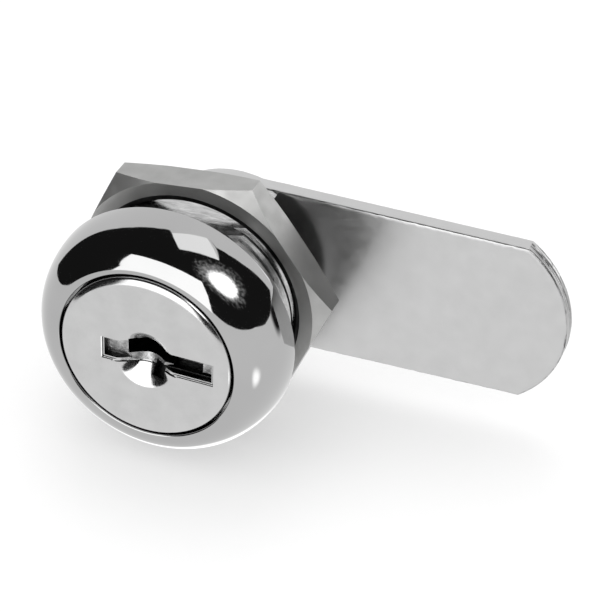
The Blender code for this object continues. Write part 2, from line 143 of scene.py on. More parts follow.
RELIEF_MM = [(-1.75, 0.9), (1.9, 0.9), (1.6, 1.5), (1.1, 1.8), (0.1, 1.8), (-0.5, 1.5), (-1.6, 1.3)]
BOWL_RADIUS = 3.2 * MM
BOWL_DEPTH = 1.6 * MM

# The slots of the discs and the retainer, and the springs beside them.
DISC_COUNT = 6
DISC_PITCH = 1.5 * MM
SLOT_WIDTH = 0.9 * MM
FIRST_SLOT = 1.9 * MM
SLOT_HALF = 3.8 * MM
SLOT_INNER = 3.6 * MM
RETAINER_MIDDLE = -8.0 * MM
RETAINER_SLOT = 1.0 * MM
CHAMBER_FLOOR = -1.25 * MM
CHAMBER_DEPTH = 5.35 * MM
CHAMBER_WIDTH = 1.3 * MM
FOOT_INNER = 2.05 * MM
SPRING_CENTRE = 4.58 * MM
SPRING_RADIUS = 0.48 * MM
SPRING_WIRE = 0.09 * MM
SPRING_TURNS = 4
SPRING_PLAY = 0.05 * MM

# The mounting nut.
NUT_FLAT = 11.1 * MM
NUT_BORE_RADIUS = 9.6 * MM
NUT_COUNTERSINK = 0.5 * MM
NUT_LIP = 0.15 * MM
NUT_CHAMFER_RADIUS = 11.3 * MM
NUT_TURN = radians(4.7)
NUT_CHAMFER = radians(30)
NUT_REAR_CHAMFER = radians(15)
NUT_THREAD_DEPTH = 0.35 * MM
NUT_THREAD_FRONT = 0.9 * MM
NUT_THREAD_REAR = 0.5 * MM
NUT_EDGE = 0.08 * MM

# The washers.
TAB_MIDDLE = radians(-45)
TAB_HALF_ANGLE = radians(10)
TAB_RADIUS = 8.7 * MM
WASHER_RADIUS = 6.3 * MM
WASHER_EDGE = 0.08 * MM
SQUARE_PLAY = 0.1 * MM
LOCK_WASHER_INNER = 2.65 * MM
LOCK_WASHER_EDGE = 0.1 * MM

# The cam: a blanked arm.
CAM_TURN = radians(-0.65)
CAM_HUB_CENTRE = 1.0 * MM
CAM_HUB_RADIUS = 8.3 * MM
CAM_HUB_ANGLE = radians(75)
CAM_REACH = 32.1 * MM
CAM_TIP_RADIUS = 9.5 * MM
CAM_TIP_HALF_WIDTH = 7.72 * MM
CAM_POINT_STEP = 0.35 * MM
CAM_SHEAR_START = 0.3 * MM
CAM_UNEVENNESS = 0.7
CAM_UNEVEN_PER_MM = 1.7
# Its side wall, front to rear, in millimetres: depth behind the front face, how far the edge is rolled
# over all round, and how deep the marks of the shear are at the tip.
CAM_WALL_MM = [
    (0, 0.4, 0), (0, 0.16, 0), (0.03, 0.07, 0), (0.1, 0.015, 0), (0.2, 0, 0), (0.5, 0, 0),
    (0.54, 0, 0.07), (0.62, 0, 0.02), (0.85, 0, 0.02), (0.9, 0, 0.09), (0.97, 0, 0.03),
    (1.4, 0, 0.02), (1.46, 0.03, 0.02), (1.5, 0.1, 0)]

# The screw.
SCREW_RADIUS = 2.4 * MM
SCREW_HOLE_RADIUS = 2.5 * MM
SCREW_HOLE_END = -9.15 * MM
SCREW_HEAD_RADIUS = screw_high.x
SCREW_HEAD_DEPTH = 2.7 * MM
SCREW_ROUNDING = 0.55 * SCREW_HEAD_DEPTH
SCREW_POINT = 0.3 * MM
CROSS_LENGTH = 4.8 * MM
CROSS_WIDTH = 1.1 * MM
CROSS_DEPTH = 1.6 * MM
CROSS_TAPER = 0.35 * MM

# Where the materials change: how far a zone keeps from an edge, where the painted dark reflection on the
# cam's rolled edges starts, and where its torn tip starts.
ZONE_MARGIN = 0.1 * MM
CAM_SHADED_EDGE_START = 5 * MM
CAM_TORN_TIP = CAM_REACH - 4 * MM

# The studio. Directions are seen from the lock, in degrees, and distances are in metres.
DARK = 0.014
CARD_GRID = 5
GLOW_GRAIN = 14.0
FLOOR_HALF = 3.0
FLOOR_GAP = 0.02 * MM
KEY_DIRECTION = (-155, 60)
KEY_DISTANCE = 0.8
CAMERA_AZIMUTH = radians(21.722)
CAMERA_ELEVATION = radians(34.505)
CAMERA_RIGHT_MM = 13.619
CAMERA_UP_MM = 4.291
CAMERA_BACK_MM = 208.91
CAMERA_LENS = 145.2
CAMERA_SENSOR = 36


# ---------------------------------------------------------------- materials

class Finish:
    """A metallic material whose roughness, grain and colour come from procedural nodes."""

    def __init__(self, name, colour, roughness):
        self.material = bpy.data.materials.new(name)
        self.material.use_nodes = True
        self.nodes = self.material.node_tree.nodes
        self.links = self.material.node_tree.links
        self.shader = self.nodes["Principled BSDF"]
        self.shader.inputs["Metallic"].default_value = 1.0
        self.shader.inputs["Base Color"].default_value = (*colour, 1.0)
        self.shader.inputs["Roughness"].default_value = roughness
        coordinates = self.nodes.new("ShaderNodeTexCoord")
        self.place = coordinates.outputs["Object"]
        self.facing = coordinates.outputs["Normal"]
        self.height = None

    def node(self, kind, **settings):
        """A new node with some of its settings changed."""
        made = self.nodes.new(kind)
        for key, value in settings.items():
            setattr(made, key, value)
        return made

    def mapped_place(self, turn=0.0, scale=(1, 1, 1)):
        """Object coordinates turned about the lock's axis and scaled."""
        mapping = self.node("ShaderNodeMapping")
        mapping.inputs["Rotation"].default_value = (0, turn, 0)
        mapping.inputs["Scale"].default_value = scale
        self.links.new(self.place, mapping.inputs["Vector"])
        return mapping.outputs["Vector"]

    def noise(self, scale, detail=2.0, roughness=0.5, vector=None):
        """Noise with a feature size of 1 / scale metres."""
        made = self.node("ShaderNodeTexNoise")
        made.inputs["Scale"].default_value = scale
        made.inputs["Detail"].default_value = detail
        made.inputs["Roughness"].default_value = roughness
        self.links.new(vector or self.place, made.inputs["Vector"])
        return made.outputs["Fac"]

    def scale_to(self, value, low, high, start=0.3, end=0.7):
        """A value between start and end, mapped to low and high."""
        made = self.node("ShaderNodeMapRange")
        made.inputs["From Min"].default_value = start
        made.inputs["From Max"].default_value = end
        made.inputs["To Min"].default_value = low
        made.inputs["To Max"].default_value = high
        self.links.new(value, made.inputs["Value"])
        return made.outputs["Result"]

    def axis_value(self, axis, vector=None):
        """One of the object's coordinates, in metres."""
        split = self.node("ShaderNodeSeparateXYZ")
        self.links.new(vector or self.place, split.inputs["Vector"])
        return split.outputs[axis]

    def radius(self):
        """Distance from the lock's axis, in metres."""
        flat = self.node("ShaderNodeVectorMath", operation="MULTIPLY")
        flat.inputs[1].default_value = (1, 0, 1)
        length = self.node("ShaderNodeVectorMath", operation="LENGTH")
        self.links.new(self.place, flat.inputs[0])
        self.links.new(flat.outputs["Vector"], length.inputs[0])
        return length.outputs["Value"]

    def above(self, value, limit, blend=0.1 * MM):
        """1 where a value is over a limit and 0 under it."""
        return self.scale_to(value, 0, 1, limit, limit + blend)

    def below(self, value, limit, blend=0.1 * MM):
        """1 where a value is under a limit and 0 over it."""
        return self.scale_to(value, 1, 0, limit - blend, limit)

    def squareness(self):
        """1 on surfaces that face along the lock's axis and 0 on those that run along it."""
        made = self.node("ShaderNodeMath", operation="ABSOLUTE")
        self.links.new(self.axis_value("Y", self.facing), made.inputs[0])
        return made.outputs["Value"]

    def walls(self):
        """1 on surfaces that run along the lock's axis and 0 on those that face along it."""
        return self.scale_to(self.squareness(), 1, 0, 0.2, 0.4)

    def rolled_edges(self):
        """1 on the narrow slopes between the two."""
        squareness = self.squareness()
        sloped = self.scale_to(squareness, 1, 0, 0.9, 0.99)
        return self.product(sloped, self.scale_to(squareness, 0, 1, 0.4, 0.6))

    def product(self, *values):
        """Values multiplied together."""
        result = values[0]
        for value in values[1:]:
            made = self.node("ShaderNodeMath", operation="MULTIPLY")
            self.links.new(result, made.inputs[0])
            self.links.new(value, made.inputs[1])
            result = made.outputs["Value"]
        return result

    def lay_over(self, kind, socket, mask, value):
        """Put a value or colour on a shader socket where a mask is 1, over what is there."""
        target = self.shader.inputs[socket]
        if mask is None:
            self.links.new(value, target)
            return
        mix = self.node("ShaderNodeMix", data_type=kind)
        self.links.new(mask, mix.inputs["Factor"])
        self.links.new(target.links[0].from_socket, mix.inputs["A"])
        self.links.new(value, mix.inputs["B"])
        self.links.new(mix.outputs["Result"], target)

    def roughness(self, value, low, high, mask=None):
        """Roughness between two limits, driven by a value."""
        self.lay_over("FLOAT", "Roughness", mask, self.scale_to(value, low, high))

    def colour(self, value, dark, light, mask=None):
        """Base colour between two tones, driven by a value."""
        mix = self.node("ShaderNodeMix", data_type="RGBA")
        mix.inputs["A"].default_value = (*dark, 1.0)
        mix.inputs["B"].default_value = (*light, 1.0)
        self.links.new(self.scale_to(value, 0, 1), mix.inputs["Factor"])
        self.lay_over("RGBA", "Base Color", mask, mix.outputs["Result"])

    def bump(self, value, distance):
        """Add a height, in metres, to the surface."""
        made = self.node("ShaderNodeBump")
        made.inputs["Distance"].default_value = distance
        self.links.new(value, made.inputs["Height"])
        if self.height:
            self.links.new(self.height, made.inputs["Normal"])
        self.height = made.outputs["Normal"]
        self.links.new(self.height, self.shader.inputs["Normal"])


def grey(tone):
    """A neutral colour."""
    return (tone, tone, tone)


def polished_chrome():
    """Mirror plate over a casting, slightly wavy and hazy; the barrel behind it keeps its turning marks."""
    made = Finish("polished_chrome_plate", grey(0.45), 0.04)
    barrel = made.above(made.axis_value("Y"), ZONE_MARGIN)
    made.colour(made.noise(90, 3), grey(0.42), grey(0.47))
    turning = made.noise(1, 4, 0.65, made.mapped_place(0, (500, 2600, 500)))
    made.colour(turning, grey(0.36), grey(0.68), barrel)
    made.roughness(made.noise(700, 4), 0.03, 0.07)
    made.roughness(made.noise(1500, 3), 0.12, 0.26, barrel)
    made.bump(made.noise(450, 1), 0.002 * MM)
    made.bump(made.noise(5000, 2), 0.0003 * MM)
    made.bump(made.product(turning, barrel), 0.012 * MM)
    return made.material


def satin_chrome():
    """Fine satin plate, duller at the rim; the keyhole has a bare rough floor, and its walls are painted
    near black as painted shade.
    """
    made = Finish("satin_chrome_plate", grey(0.55), 0.2)
    depth = made.axis_value("Y")
    radius = made.radius()
    height = made.axis_value("Z", made.mapped_place(KEY_TURN))
    face = -PLUG_FACE
    rim = FLANGE_RADIUS - RIM_WEAR
    worn = made.above(radius, rim, blend=0.3 * MM)
    inside = made.product(made.above(depth, face + ZONE_MARGIN), made.below(depth, -PLUG_REAR - MM),
                          made.below(radius, rim))
    floor = made.product(inside, made.above(depth, face + 3 * ZONE_MARGIN),
                         made.above(height, RECESS_CENTRE.y - RECESS.y / 2 - FLOOR_DROP),
                         made.below(height, RECESS_CENTRE.y + RECESS.y / 2))
    walls = made.product(inside, made.walls())
    made.colour(made.noise(500, 3), grey(0.54), grey(0.59))
    made.colour(made.noise(1900, 4, 0.65), grey(0.2), grey(0.66), floor)
    # Painted shade: the keyhole's walls are painted near black for the shade deep inside it.
    made.colour(made.noise(1500, 3), grey(0.01), grey(0.03), walls)
    made.roughness(made.noise(1500, 3), 0.08, 0.17)
    made.roughness(made.noise(1500, 3), 0.12, 0.2, worn)
    made.roughness(made.noise(2500, 3), 0.25, 0.5, floor)
    made.roughness(made.noise(2500, 3), 0.3, 0.5, walls)
    made.bump(made.noise(9000, 2), 0.0008 * MM)
    made.bump(made.product(made.noise(3000, 3), floor), 0.04 * MM)
    return made.material


def nickel_plate():
    """Satin nickel on a turned and stamped nut; its bore, countersink and thread are painted near black as
    painted shade.
    """
    made = Finish("satin_nickel_plate", grey(0.43), 0.26)
    shaded_bore = made.below(made.radius(), NUT_BORE_RADIUS + NUT_COUNTERSINK, blend=0.02 * MM)
    made.colour(made.noise(350, 4), (0.4, 0.4, 0.395), (0.47, 0.47, 0.465))
    # Painted shade: the bore, countersink and thread are painted near black for the shade inside the nut.
    made.colour(made.noise(1500, 3), grey(0.02), grey(0.05), shaded_bore)
    made.roughness(made.noise(900, 3), 0.36, 0.46)
    made.bump(made.noise(6000, 3), 0.0015 * MM)
    return made.material


def zinc_plate():
    """Bright zinc on steel strip with a fine grain, a torn edge at the cam's tip, and dark dashed lines of
    painted reflection along its rolled edges.
    """
    made = Finish("bright_zinc_plate", grey(0.58), 0.18)
    tip = made.product(made.walls(), made.above(made.axis_value("X"), CAM_TORN_TIP, blend=MM))
    streaks = made.noise(1, 3, 0.6, made.mapped_place(0, (150, 5000, 150)))
    made.colour(made.noise(600, 4), grey(0.565), grey(0.6))
    made.colour(streaks, grey(0.05), grey(0.7), tip)
    # Painted reflection: dark dashed lines along the rolled edges stand in for the dark surroundings they
    # mirror.
    edges = made.product(made.rolled_edges(), made.above(made.radius(), CAM_SHADED_EDGE_START))
    made.colour(made.noise(900, 3), grey(0.06), grey(0.6), edges)
    made.roughness(made.noise(1200, 3), 0.28, 0.36)
    made.bump(made.noise(5000, 3), 0.001 * MM)
    return made.material


def brass():
    """Stamped brass strip, tarnished and oily."""
    made = Finish("stamped_brass", (0.2, 0.14, 0.06), 0.4)
    made.colour(made.noise(400, 4), (0.1, 0.07, 0.03), (0.2, 0.14, 0.06))
    made.roughness(made.noise(1500, 3), 0.25, 0.45)
    made.bump(made.noise(6000, 2), 0.001 * MM)
    return made.material


def spring_steel():
    """Bare drawn steel."""
    made = Finish("drawn_spring_steel", (0.42, 0.42, 0.43), 0.3)
    made.colour(made.noise(700, 3), (0.36, 0.36, 0.37), (0.48, 0.48, 0.49))
    made.roughness(made.noise(2000, 3), 0.22, 0.4)
    made.bump(made.noise(8000, 2), 0.001 * MM)
    return made.material


CHROME = polished_chrome()
SATIN = satin_chrome()
NICKEL = nickel_plate()
ZINC = zinc_plate()
BRASS = brass()
SPRING = spring_steel()


# ---------------------------------------------------------------- shape helpers

def arc(radius, start, end, steps, centre=(0, 0)):
    """Points along an arc, both ends included."""
    angles = [start + (end - start) * i / steps for i in range(steps + 1)]
    return [(centre[0] + radius * cos(a), centre[1] + radius * sin(a)) for a in angles]


def add(name, bm):
    """An object for a bmesh, which is freed."""
    bmesh.ops.recalc_face_normals(bm, faces=bm.faces)
    mesh = bpy.data.meshes.new(name)
    bm.to_mesh(mesh)
    bm.free()
    thing = bpy.data.objects.new(name, mesh)
    bpy.context.scene.collection.objects.link(thing)
    return thing


def join_rings(bm, rings, capped=True):
    """Faces between each ring of points and the next, and over the first and last."""
    count = len(rings[0])
    for first, second in zip(rings, rings[1:]):
        for i in range(count):
            j = (i + 1) % count
            bm.faces.new((first[i], first[j], second[j], second[i]))
    if capped:
        bm.faces.new(rings[0])
        bm.faces.new(rings[-1])


def turned(name, profile, segments):
    """A profile of (radius, z) points turned round z; it closes on itself or on the axis."""
    bm = bmesh.new()
    on_axis = profile[0][0] == 0
    rings = []
    for radius, z in profile:
        if radius == 0:
            rings.append([bm.verts.new((0, 0, z))])
            continue
        angles = [2 * pi * i / segments for i in range(segments)]
        rings.append([bm.verts.new((radius * cos(a), radius * sin(a), z)) for a in angles])
    pairs = list(zip(rings, rings[1:]))
    if not on_axis:
        pairs.append((rings[-1], rings[0]))
    for first, second in pairs:
        for i in range(segments):
            j = (i + 1) % segments
            corners = [first[i % len(first)], first[j % len(first)],
                       second[j % len(second)], second[i % len(second)]]
            bm.faces.new(list(dict.fromkeys(corners)))
    return add(name, bm)


def dense(outline, step):
    """A closed outline with points added, so that they are about a step apart."""
    points = []
    for first, second in zip(outline, outline[1:] + outline[:1]):
        first = Vector(first)
        second = Vector(second)
        count = max(1, round((second - first).length / step))
        points += [first.lerp(second, i / count) for i in range(count)]
    return points


def inset(outline, distance):
    """A closed outline, listed anticlockwise, moved inwards by a distance or by one for each point.

    A sharp corner would move far, so its move is limited.
    """
    points = [Vector(p) for p in outline]
    distances = distance if isinstance(distance, list) else [distance] * len(points)
    moved = []
    neighbours = zip(points[-1:] + points[:-1], points, points[1:] + points[:1])
    for (before, point, after), reach in zip(neighbours, distances):
        first = (point - before).normalized()
        second = (after - point).normalized()
        middle = (first + second).normalized()
        inward = Vector((-middle.y, middle.x))
        moved.append(point + inward * reach / max(0.3, middle.dot(first)))
    return moved


def layered(name, outline, layers):
    """A flat piece whose side wall follows layers of (inset, z), listed front to rear."""
    bm = bmesh.new()
    rings = [[bm.verts.new((p[0], p[1], z)) for p in inset(outline, distance)]
             for distance, z in layers]
    join_rings(bm, rings)
    return add(name, bm)


def prism(name, outline, front, rear):
    """A flat outline made solid."""
    return layered(name, outline, [(0, front), (0, rear)])


def rectangle(size, centre=(0, 0)):
    """Corners of a rectangle."""
    half_x = size[0] / 2
    half_y = size[1] / 2
    corners = [(-half_x, -half_y), (half_x, -half_y), (half_x, half_y), (-half_x, half_y)]
    return [(centre[0] + x, centre[1] + y) for x, y in corners]


def square(half, corner_radius):
    """A square whose corners are rounded off by a circle."""
    edge = acos(half / corner_radius)
    points = []
    for quarter in range(4):
        middle = pi / 4 + quarter * pi / 2
        points += arc(corner_radius, middle - pi / 4 + edge, middle + pi / 4 - edge, 4)
    return points


def blocks(name, corners):
    """Boxes between pairs of corners."""
    bm = bmesh.new()
    for first, second in corners:
        low = Vector([min(pair) for pair in zip(first, second)])
        high = Vector([max(pair) for pair in zip(first, second)])
        place = Matrix.Translation((low + high) / 2) @ Matrix.Diagonal((*(high - low), 1))
        bmesh.ops.create_cube(bm, size=1, matrix=place)
    return add(name, bm)


def thread_groove(name, radius, root, first, last, steps=72):
    """The helical groove of a right-hand thread, as the solid that cuts it; it runs out at the front."""
    mouth = radius + THREAD_OVERCUT * (radius - root)
    mouth_half = THREAD_ROOT_HALF + abs(mouth - root) * tan(THREAD_HALF_ANGLE)
    turns = (first - last) / THREAD_PITCH
    count = int(turns * steps)
    bm = bmesh.new()
    rings = []
    for i in range(count + 1):
        angle = 2 * pi * i / steps
        middle = last + THREAD_PITCH * i / steps
        runout = min(1, (count - i) / (RUNOUT_TURNS * steps))
        depth = mouth + (root - mouth) * (RUNOUT_DEPTH + (1 - RUNOUT_DEPTH) * runout)
        section = [(mouth, mouth_half), (depth, THREAD_ROOT_HALF),
                   (depth, -THREAD_ROOT_HALF), (mouth, -mouth_half)]
        rings.append([bm.verts.new((r * cos(angle), r * sin(angle), middle + z)) for r, z in section])
    join_rings(bm, rings)
    return add(name, bm)


def apply_modifiers(target):
    """Make a piece's modifiers part of its mesh."""
    bpy.context.view_layer.update()
    depsgraph = bpy.context.evaluated_depsgraph_get()
    target.data = bpy.data.meshes.new_from_object(target.evaluated_get(depsgraph))
    target.modifiers.clear()


def carve(target, tool, operation="DIFFERENCE"):
    """Cut, join or intersect a piece with a tool, which is used up."""
    change = target.modifiers.new("carve", "BOOLEAN")
    change.operation = operation
    change.solver = "EXACT"
    change.object = tool
    apply_modifiers(target)
    bpy.data.objects.remove(tool, do_unlink=True)


def round_edges(target, width, angle):
    """Round the edges of a solid that are sharper than an angle."""
    change = target.modifiers.new("edges", "BEVEL")
    change.width = width
    change.segments = 2
    change.limit_method = "ANGLE"
    change.angle_limit = radians(angle)
    change.miter_outer = "MITER_ARC"


def finish_piece(piece, material, node, body, smooth=30):
    """Stand a piece up, give it its material and hand it to the frame."""
    apply_modifiers(piece)
    mesh = piece.data
    mesh.transform(STAND)
    mesh.materials.clear()
    mesh.materials.append(material)
    mesh.shade_smooth()
    mesh.set_sharp_from_angle(angle=radians(smooth))
    flats = piece.modifiers.new("flats_stay_flat", "WEIGHTED_NORMAL")
    flats.keep_sharp = True
    apply_modifiers(piece)
    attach(piece, body)
    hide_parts(node)


# ---------------------------------------------------------------- housing

def housing_profile():
    """The head's dome, its back face, the barrel and the stepped bore."""
    lip = CREST_RADIUS - COUNTERBORE_RADIUS
    profile = arc(lip, pi, pi / 2, 5, (CREST_RADIUS, HEAD_DEPTH - lip))
    steps = 56
    width = HEAD_RADIUS - CREST_RADIUS
    height = HEAD_DEPTH - HEAD_EDGE
    for i in range(1, steps + 1):
        a = pi / 2 * (1 - i / steps)
        profile.append((CREST_RADIUS + width * cos(a), HEAD_EDGE + height * sin(a)))
    centre = (HEAD_RADIUS - HEAD_EDGE, HEAD_EDGE)
    profile += arc(HEAD_EDGE, 0, -pi / 2, 4, centre)[1:]
    profile.append((BARREL_RADIUS, 0))
    profile.append((BARREL_RADIUS, BARREL_REAR + BARREL_CHAMFER))
    profile.append((BARREL_RADIUS - BARREL_CHAMFER, BARREL_REAR))
    profile.append((BORE_RADIUS, BARREL_REAR))
    profile.append((BORE_RADIUS, GROOVE_REAR))
    profile.append((CHANNEL_RADIUS, GROOVE_REAR))
    profile.append((CHANNEL_RADIUS, GROOVE_FRONT))
    profile.append((BORE_RADIUS, GROOVE_FRONT))
    profile.append((BORE_RADIUS, COUNTERBORE_FLOOR))
    profile.append((COUNTERBORE_RADIUS, COUNTERBORE_FLOOR))
    return profile


def make_housing():
    """The head and barrel, with the thread, lugs and flats outside and the discs' channels inside."""
    housing = turned("chromed_housing", housing_profile(), segments=240)
    root = BARREL_RADIUS - THREAD_DEPTH
    carve(housing, thread_groove("groove", BARREL_RADIUS, root, THREAD_FIRST, BARREL_REAR - MM))
    for middle in (pi / 2, -pi / 2):
        outline = arc(LUG_OUTER, middle - LUG_HALF_ANGLE, middle + LUG_HALF_ANGLE, 24)
        outline += arc(LUG_INNER, middle + LUG_HALF_ANGLE, middle - LUG_HALF_ANGLE, 24)
        lug = layered("lug", outline, [(0, BARREL_REAR + LUG_OVERLAP), (0, housing_low.z + LUG_CHAMFER),
                                       (LUG_CHAMFER, housing_low.z)])
        carve(housing, lug, "UNION")
    beyond = 2 * HEAD_RADIUS
    rear = housing_low.z - MM
    carve(housing, blocks("flats", [
        ((-beyond, FLAT_HALF, rear), (beyond, beyond, 0)),
        ((-beyond, -FLAT_HALF, rear), (beyond, -beyond, 0))]))
    for reach in ((CHANNEL_RADIUS, CHANNEL_HALF), (CHANNEL_HALF, CHANNEL_RADIUS)):
        carve(housing, blocks("channel", [((-reach[0], -reach[1], CHANNEL_REAR),
                                           (reach[0], reach[1], CHANNEL_FRONT))]))
    finish_piece(housing, CHROME, "housing", "housing")


# ---------------------------------------------------------------- plug

def bowl_curve(floor_step=0.0):
    """The hollow in the middle of the face, from its edge to the axis; a step sinks it deeper."""
    steps = 24
    curve = []
    for i in range(steps + 1):
        share = 1 - i / steps
        curve.append((BOWL_RADIUS * share, PLUG_FACE - floor_step - BOWL_DEPTH * cos(pi / 2 * share) ** 2))
    return curve


def plug_profile():
    """The flanged face with its rounded rim, then the plug's body."""
    profile = bowl_curve()[::-1]
    profile.append((RIM_START, PLUG_FACE))
    steps = 40
    for i in range(1, steps + 1):
        share = sin(pi / 2 * i / steps)
        drop = RIM_DEPTH * (1 - (1 - share ** RIM_POWER) ** 0.5)
        profile.append((RIM_START + (FLANGE_RADIUS - RIM_START) * share, PLUG_FACE - drop))
    profile.append((FLANGE_RADIUS, FLANGE_BACK))
    profile.append((PLUG_RADIUS, FLANGE_BACK))
    profile.append((PLUG_RADIUS, PLUG_REAR))
    profile.append((0, PLUG_REAR))
    return profile


def key_outline(corners):
    """An outline of the keyhole, which is turned a little about the lock's axis."""
    return [Matrix.Rotation(KEY_TURN, 2) @ Vector(corner) for corner in corners]


def slot_middle(index):
    """Height of a disc's middle plane."""
    return FIRST_SLOT - SLOT_WIDTH / 2 - DISC_PITCH * index


def slot(middle, width):
    """The slot right through the plug in which a disc slides."""
    reach = 1.2 * PLUG_RADIUS
    return ((-reach, -SLOT_HALF, middle - width / 2), (reach, SLOT_HALF, middle + width / 2))


def spring_chamber(middle, side):
    """The pocket beside a slot that holds the spring and the disc's foot."""
    return ((side * CHAMBER_FLOOR, -side * SLOT_INNER, middle - CHAMBER_WIDTH / 2),
            (side * PLUG_RADIUS, -side * CHAMBER_DEPTH, middle + CHAMBER_WIDTH / 2))


def make_plug():
    """The plug with its tail, the slots and chambers across it, the keyhole and the screw's hole."""
    plug = turned("slotted_plug", plug_profile(), segments=192)
    tail_rear = plug_low.z
    tail = layered("tail", square(TAIL_HALF, TAIL_CORNER), [
        (0, PLUG_REAR + TAIL_OVERLAP), (0, tail_rear + TAIL_CHAMFER), (TAIL_CHAMFER, tail_rear)])
    carve(plug, tail, "UNION")
    slots = [slot(slot_middle(i), SLOT_WIDTH) for i in range(DISC_COUNT)]
    slots.append(slot(RETAINER_MIDDLE, RETAINER_SLOT))
    carve(plug, blocks("slots", slots))
    chambers = [spring_chamber(slot_middle(i), 1 if i % 2 == 0 else -1) for i in range(DISC_COUNT)]
    chambers.append(spring_chamber(RETAINER_MIDDLE, 1))
    carve(plug, blocks("chambers", chambers))
    cut_keyhole(plug)
    hole = turned("screw_hole", [(0, SCREW_HOLE_END), (SCREW_HOLE_RADIUS, SCREW_HOLE_END),
                                 (SCREW_HOLE_RADIUS, tail_rear - MM), (0, tail_rear - MM)],
                  segments=64)
    carve(plug, hole)
    finish_piece(plug, SATIN, "plug", "plug")


def cut_keyhole(plug):
    """The recess with its ledge and hollow floor, then the deeper cuts that let the key in."""
    above = PLUG_FACE + MM
    outer = key_outline(rectangle(RECESS, RECESS_CENTRE))
    inner = key_outline(rectangle(RECESS - 2 * LEDGE_WIDTH * Vector((1, 1)), RECESS_CENTRE))
    carve(plug, layered("ledge", outer, [
        (-LEDGE_CHAMFER, above), (-LEDGE_CHAMFER, PLUG_FACE), (0, PLUG_FACE - LEDGE_CHAMFER),
        (0, PLUG_FACE - LEDGE_DEPTH)]))
    carve(plug, prism("recess", inner, above, PLUG_FACE - RECESS_DEPTH))
    floor = turned("floor", [(0, above), (BOWL_RADIUS, above)] + bowl_curve(FLOOR_STEP), segments=96)
    floor_size = RECESS + Vector((0, FLOOR_DROP))
    floor_centre = RECESS_CENTRE - Vector((0, FLOOR_DROP / 2))
    floor_outline = key_outline(rectangle(floor_size, floor_centre))
    carve(floor, prism("recess", floor_outline, above + MM, KEYWAY_REAR), "INTERSECT")
    carve(plug, floor)
    for name, corners, rear in (
            ("notch", rectangle(NOTCH, NOTCH_CENTRE), PLUG_FACE - NOTCH_DEPTH),
            ("ward", [(x * MM, y * MM) for x, y in WARD_MM], PLUG_FACE - NOTCH_DEPTH - WARD_STEP),
            ("relief", [(x * MM, y * MM) for x, y in RELIEF_MM], PLUG_FACE - NOTCH_DEPTH - 2 * WARD_STEP),
            ("keyway", rectangle(KEYWAY, KEYWAY_CENTRE), KEYWAY_REAR)):
        carve(plug, prism(name, key_outline(corners), above, rear))


# ---------------------------------------------------------------- nut

def make_nut():
    """A hexagon cut from a turned ring, which gives the corners their curved chamfers."""
    corner = NUT_FLAT / cos(pi / 6)
    beyond = 1.05 * corner
    chamfered = beyond - NUT_CHAMFER_RADIUS
    sink = NUT_BORE_RADIUS + NUT_COUNTERSINK
    front = nut_high.z
    rear = nut_low.z
    profile = [
        (sink, front),
        (NUT_CHAMFER_RADIUS, front),
        (beyond, front - chamfered * tan(NUT_CHAMFER)),
        (beyond, rear + chamfered * tan(NUT_REAR_CHAMFER)),
        (NUT_CHAMFER_RADIUS, rear),
        (sink, rear),
        (NUT_BORE_RADIUS, rear + NUT_COUNTERSINK),
        (NUT_BORE_RADIUS, front - NUT_LIP),
    ]
    nut = turned("mounting_nut", profile, segments=192)
    hexagon = [(corner * cos(NUT_TURN + i * pi / 3), corner * sin(NUT_TURN + i * pi / 3)) for i in range(6)]
    carve(nut, prism("hexagon", hexagon, front + MM, rear - MM), "INTERSECT")
    root = NUT_BORE_RADIUS + NUT_THREAD_DEPTH
    thread_ends = (front - NUT_THREAD_FRONT, rear + NUT_THREAD_REAR)
    carve(nut, thread_groove("nut_groove", NUT_BORE_RADIUS, root, *thread_ends))
    round_edges(nut, NUT_EDGE, angle=25)
    finish_piece(nut, NICKEL, "hex_nut", "nut")


# ---------------------------------------------------------------- washers, cam and screw

def square_hole(front, rear):
    """The cutter for a hole that fits the plug's square tail."""
    outline = square(TAIL_HALF + SQUARE_PLAY, TAIL_CORNER + SQUARE_PLAY)
    return prism("square_hole", outline, front + MM, rear - MM)


def make_stop_washer():
    """A ring with two tabs that meet the housing's lugs."""
    outline = []
    for middle in (TAB_MIDDLE, TAB_MIDDLE + pi):
        start = middle - TAB_HALF_ANGLE
        end = middle + TAB_HALF_ANGLE
        outline += arc(TAB_RADIUS, start, end, 8)
        outline += arc(WASHER_RADIUS, end, start + pi, 40)
    edge = WASHER_EDGE
    layers = [(edge, stop_high.z), (0, stop_high.z - edge), (0, stop_low.z + edge), (edge, stop_low.z)]
    washer = layered("stop_ring", outline, layers)
    carve(washer, square_hole(stop_high.z, stop_low.z))
    finish_piece(washer, ZINC, "stop_washer", "plug")


def make_cam():
    """A blanked arm: its front edges are rolled over, and its tip shows the marks of the shear."""
    tip_centre = CAM_REACH - CAM_TIP_RADIUS
    tip = asin(CAM_TIP_HALF_WIDTH / CAM_TIP_RADIUS)
    outline = arc(CAM_TIP_RADIUS, -tip, tip, 64, (tip_centre, 0))
    outline += arc(CAM_HUB_RADIUS, CAM_HUB_ANGLE, 2 * pi - CAM_HUB_ANGLE, 64, (CAM_HUB_CENTRE, 0))
    outline = [Matrix.Rotation(CAM_TURN, 2) @ point for point in dense(outline, CAM_POINT_STEP)]
    corner = tip_centre + CAM_TIP_RADIUS * cos(tip)
    front = cam_high.z
    layers = []
    for depth, roll, shear in CAM_WALL_MM:
        distances = []
        for point in outline:
            place = (point.x / MM * CAM_UNEVEN_PER_MM, point.y / MM * CAM_UNEVEN_PER_MM, 0)
            uneven = 1 + CAM_UNEVENNESS * noise.noise(place)
            at_tip = min(1, max(0, (point.x - corner) / CAM_SHEAR_START))
            distances.append((roll * uneven + shear * at_tip * uneven) * MM)
        layers.append((distances, front - depth * MM))
    cam = layered("cam_arm", outline, layers)
    carve(cam, square_hole(front, cam_low.z))
    finish_piece(cam, ZINC, "cam", "plug")


